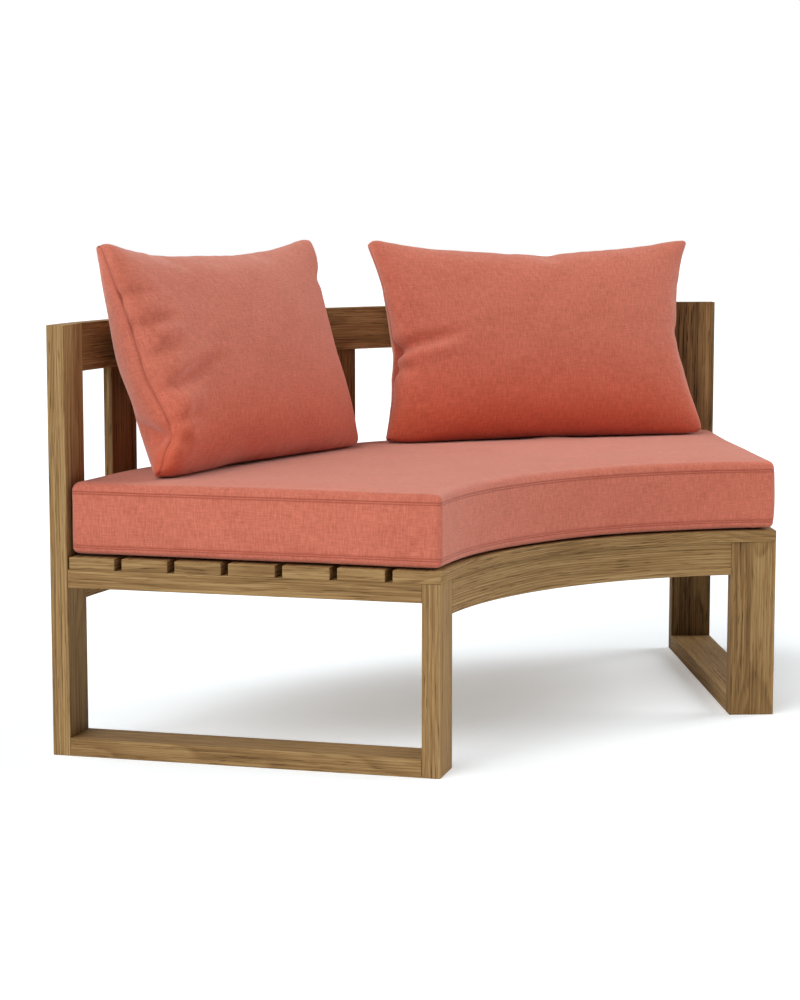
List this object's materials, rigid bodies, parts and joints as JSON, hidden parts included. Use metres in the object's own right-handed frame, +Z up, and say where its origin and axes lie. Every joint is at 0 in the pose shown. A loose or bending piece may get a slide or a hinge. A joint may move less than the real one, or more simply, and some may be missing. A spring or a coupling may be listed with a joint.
{
  "type": "curved bench segment",
  "caption": "Curved outdoor bench segment: slatted hardwood frame with open sled ends and a slatted back, a fitted seat cushion and throw pillows.",
  "frame": {"origin": "on the floor, in the middle of the outline seen from above", "axes": "+X to the sitter's left along the longest side (right in the front view), -Y to the front, +Z up"},
  "size_m": [1.5282, 0.7772, 0.826],
  "materials": {
    "frame_wood": "satin",
    "cushion_fabric": "matte",
    "cushion_filling": "matte",
    "zip_tape": "matte",
    "screw_steel": "satin"
  },
  "bodies": {
    "bench_frame": {"rear_post_left": "frame_wood", "front_leg_left": "frame_wood", "floor_rail_left": "frame_wood", "seat_end_rail_left": "frame_wood", "rear_post_right": "frame_wood", "front_leg_right": "frame_wood", "floor_rail_right": "frame_wood", "seat_end_rail_right": "frame_wood", "front_apron": "frame_wood", "rear_apron": "frame_wood", "back_top_rail": "frame_wood", "back_stile_1": "frame_wood", "back_stile_2": "frame_wood", "back_stile_3": "frame_wood", "back_stile_4": "frame_wood", "back_stile_5": "frame_wood", "back_stile_6": "frame_wood", "back_stile_7": "frame_wood", "cross_bearer_1": "frame_wood", "cross_bearer_2": "frame_wood", "cross_bearer_3": "frame_wood", "seat_slat_1": "frame_wood", "seat_slat_2": "frame_wood", "seat_slat_3": "frame_wood", "seat_slat_4": "frame_wood", "seat_slat_5": "frame_wood", "seat_slat_6": "frame_wood", "seat_slat_7": "frame_wood", "slat_screw_left_1": "screw_steel", "slat_screw_left_2": "screw_steel", "slat_screw_left_3": "screw_steel", "slat_screw_left_4": "screw_steel", "slat_screw_left_5": "screw_steel", "slat_screw_left_6": "screw_steel", "slat_screw_left_7": "screw_steel", "slat_screw_middle_1": "screw_steel", "slat_screw_middle_2": "screw_steel", "slat_screw_middle_3": "screw_steel", "slat_screw_middle_4": "screw_steel", "slat_screw_middle_5": "screw_steel", "slat_screw_middle_6": "screw_steel", "slat_screw_middle_7": "screw_steel", "slat_screw_right_1": "screw_steel", "slat_screw_right_2": "screw_steel", "slat_screw_right_3": "screw_steel", "slat_screw_right_4": "screw_steel", "slat_screw_right_5": "screw_steel", "slat_screw_right_6": "screw_steel", "slat_screw_right_7": "screw_steel"},
    "seat_cushion": {"seat_cushion_cover": "cushion_fabric", "seat_cushion_zip": "zip_tape", "seat_cushion_foam": "cushion_filling"},
    "pillow_left": {"pillow_left_cover": "cushion_fabric", "pillow_left_zip": "zip_tape", "pillow_left_filling": "cushion_filling"},
    "pillow_right": {"pillow_right_cover": "cushion_fabric", "pillow_right_zip": "zip_tape", "pillow_right_filling": "cushion_filling"}
  },
  "joints": [
    {"name": "seat_cushion_lift", "type": "slide", "parent": "bench_frame", "child": "seat_cushion", "axis": [0, 0, 1], "range_m": [0, 0.42]},
    {"name": "pillow_left_lift", "type": "slide", "parent": "seat_cushion", "child": "pillow_left", "axis": [0, 0, 1], "range_m": [0, 0.3]},
    {"name": "pillow_right_lift", "type": "slide", "parent": "seat_cushion", "child": "pillow_right", "axis": [0, 0, 1], "range_m": [0, 0.3]}
  ]
}
